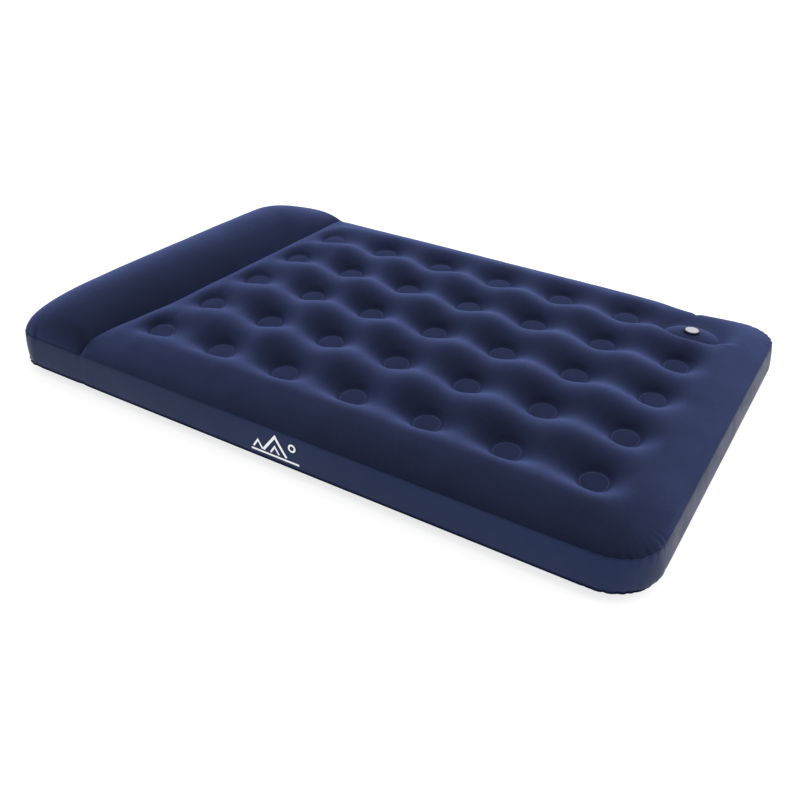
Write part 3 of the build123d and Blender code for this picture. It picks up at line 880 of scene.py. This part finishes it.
def sheet_plastic(name, colour, second, roughness, grain):
    """Smooth sheet or moulding in two close shades, with a fine grain."""
    made = Nodes(name, colour, roughness)
    made.shader.inputs["Specular IOR Level"].default_value = 0.09
    patches = made.ramp(made.noise(5.0, 4.0, 0.6), 0.3, 0.7, 0.0, 1.0)
    made.colour(made.blend(patches, colour, second))
    gloss = made.ramp(made.noise(16.0, 4.0, 0.6), 0.3, 0.7, roughness - 0.05, roughness + 0.06)
    made.link(gloss, made.shader.inputs["Roughness"])
    made.bump(made.noise(grain, 2.0, 0.6), 0.00035, 0.35)
    made.bump(made.noise(26.0, 3.0, 0.5), 0.0012, 0.35)
    return made.mat


BED_VELVET = velvet("bed_velvet", True)
PILLOW_VELVET = velvet("pillow_velvet", False)
BAND = sheet_plastic("band_vinyl", (0.011, 0.020, 0.060), (0.014, 0.024, 0.068), 0.42, 700.0)
BASE = sheet_plastic("base_vinyl", (0.014, 0.022, 0.055), (0.018, 0.027, 0.064), 0.42, 700.0)
# Painted shade, in part: the base seam's lip is darker than the sheets it joins, a dark seam that
# also stands in for the shadow under the lip.
LIP_AND_PAINTED_SHADE = sheet_plastic("weld_vinyl_and_painted_shade", (0.007, 0.010, 0.028), (0.010, 0.014, 0.036), 0.42, 500.0)
INNER = sheet_plastic("inner_vinyl", (0.11, 0.14, 0.22), (0.13, 0.16, 0.25), 0.45, 600.0)
PUMP_SKIN = sheet_plastic("pump_vinyl", (0.013, 0.018, 0.052), (0.017, 0.022, 0.060), 0.52, 500.0)
DARK = sheet_plastic("dark_moulding", (0.007, 0.010, 0.028), (0.009, 0.013, 0.034), 0.32, 900.0)
PALE = sheet_plastic("pale_moulding", (0.42, 0.43, 0.47), (0.46, 0.47, 0.51), 0.34, 900.0)
RUBBER = sheet_plastic("flap_rubber", (0.030, 0.033, 0.042), (0.036, 0.040, 0.050), 0.55, 900.0)
FOAM = sheet_plastic("foam_cells", (0.50, 0.46, 0.34), (0.58, 0.54, 0.42), 0.95, 400.0)
PRINT = sheet_plastic("print_white", (0.78, 0.79, 0.82), (0.82, 0.83, 0.86), 0.5, 900.0)

for piece, material, slot_name, node in (
    (bed_top, BED_VELVET, "flocked_top", "top_sheet"),
    (pillow_top, PILLOW_VELVET, "flocked_top", "pillow_sheet"),
    (side_panel, BAND, "band_sheet", "side_band"),
    (base_skin, BASE, "base_sheet", "bottom_sheet"),
):
    piece.data.materials.append(material)
    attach(piece, "mattress")
    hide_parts(node)
# The base seam's lip takes the darker vinyl that carries painted shade.
for piece, material in ((top_lip, BAND), (base_lip, LIP_AND_PAINTED_SHADE)):
    piece.data.materials.append(material)
    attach(piece, "mattress")

print_mark.data.materials.append(PRINT)
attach(print_mark, "mattress")

MATERIAL_OF = {
    "pump_well": PUMP_SKIN,
    "outlet_seat": INNER,
    "pillow_baffle": INNER,
    "pump_dome": PILLOW_VELVET,
    "pump_bellows": PUMP_SKIN,
    "pump_foam": FOAM,
    "intake_collar": DARK,
    "intake_cap": PALE,
    "intake_flap": RUBBER,
    "outlet_flap": RUBBER,
    "valve_flap": RUBBER,
    "valve_base": DARK,
    "valve_insert": DARK,
    "valve_cap": DARK,
    **{n: INNER for n in coils},
}
for name, material in MATERIAL_OF.items():
    data = nodes[name].data
    if data.materials:
        for k in range(len(data.materials)):
            data.materials[k] = material
    else:
        data.materials.append(material)

# The pump's foam and folded wall shorten when the dome is pressed; here they are only copied into
# pieces of their own on the mattress, and the CAD pieces hidden.
for name, node, material, slot_name in (
    ("foam_ring", "pump_foam", FOAM, "foam"),
    ("folded_wall", "pump_bellows", PUMP_SKIN, "pump_skin"),
):
    piece = bpy.data.objects.new(name, nodes[node].data.copy())
    piece.matrix_world = nodes[node].matrix_world.copy()
    bpy.context.collection.objects.link(piece)
    piece.data.materials.clear()
    piece.data.materials.append(material)
    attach(piece, "mattress")
    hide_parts(node)
    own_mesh(piece)

for name in ("intake_cap", "intake_collar", "valve_cap", "valve_insert", "valve_base"):
    edges = nodes[name].modifiers.new("soft_edges", "BEVEL")
    edges.width, edges.segments = 0.0005, 2
    edges.limit_method, edges.angle_limit = "ANGLE", math.radians(40)

# ---------------------------------------------------------------- stage, light and camera
FLOOR_HALF, FLOOR_Z = 30, -0.0005
floor_corners = [
    (x * FLOOR_HALF, y * FLOOR_HALF, FLOOR_Z) for x, y in ((-1, -1), (1, -1), (1, 1), (-1, 1))
]
floor = new_mesh("floor", floor_corners, [(0, 1, 2, 3)], False)
paper = bpy.data.materials.new("floor_paper")
paper.use_nodes = True
paper_inputs = paper.node_tree.nodes["Principled BSDF"].inputs
paper_inputs["Base Color"].default_value = (0.40, 0.40, 0.40, 1)
paper_inputs["Roughness"].default_value = 0.9
paper_inputs["Emission Color"].default_value = (1, 1, 1, 1)
paper_inputs["Emission Strength"].default_value = 0.72
floor.data.materials.append(paper)

world = bpy.data.worlds.new("studio")
bpy.context.scene.world = world
world.use_nodes = True
world.node_tree.nodes["Background"].inputs[0].default_value = (1, 1, 1, 1)
world.node_tree.nodes["Background"].inputs[1].default_value = 0.95
bpy.context.scene.view_settings.view_transform = "Standard"


def soft_box(name, place, target, width, height, watts):
    data = bpy.data.lights.new(name, "AREA")
    data.shape = "RECTANGLE"
    data.size, data.size_y, data.energy = width, height, watts
    obj = bpy.data.objects.new(name, data)
    obj.location = place
    obj.rotation_mode = "QUATERNION"
    obj.rotation_quaternion = (Vector(target) - Vector(place)).to_track_quat("-Z", "Y")
    bpy.context.collection.objects.link(obj)


soft_box("back_light", (0.6, 2.6, 2.2), (0, 0, 0.1), 3.0, 1.6, 30)
soft_box("key_light", (2.6, -0.4, 2.4), (0, 0, 0.1), 2.0, 2.0, 16)

LENS_MM, SENSOR_MM, FARTHEST = 40.58, 36, 50
AZIMUTH, ELEVATION, ROLL = (math.radians(a) for a in (29.386, 31.101, 2.707))
EYE = Vector((1.1801, -2.1364, 1.3483))
side = Vector((math.cos(AZIMUTH), math.sin(AZIMUTH), 0))
ahead = Vector((math.sin(AZIMUTH), -math.cos(AZIMUTH), 0))
back = ahead * math.cos(ELEVATION) + Vector((0, 0, math.sin(ELEVATION)))
above = back.cross(side)
right = side * math.cos(ROLL) + above * math.sin(ROLL)
upright = -side * math.sin(ROLL) + above * math.cos(ROLL)
camera_data = bpy.data.cameras.new("camera")
camera_data.lens, camera_data.sensor_width, camera_data.clip_end = LENS_MM, SENSOR_MM, FARTHEST
camera = bpy.data.objects.new("camera", camera_data)
turn = Matrix((right, upright, back)).transposed().to_4x4()
camera.matrix_world = Matrix.Translation(EYE) @ turn
bpy.context.collection.objects.link(camera)
bpy.context.scene.camera = camera
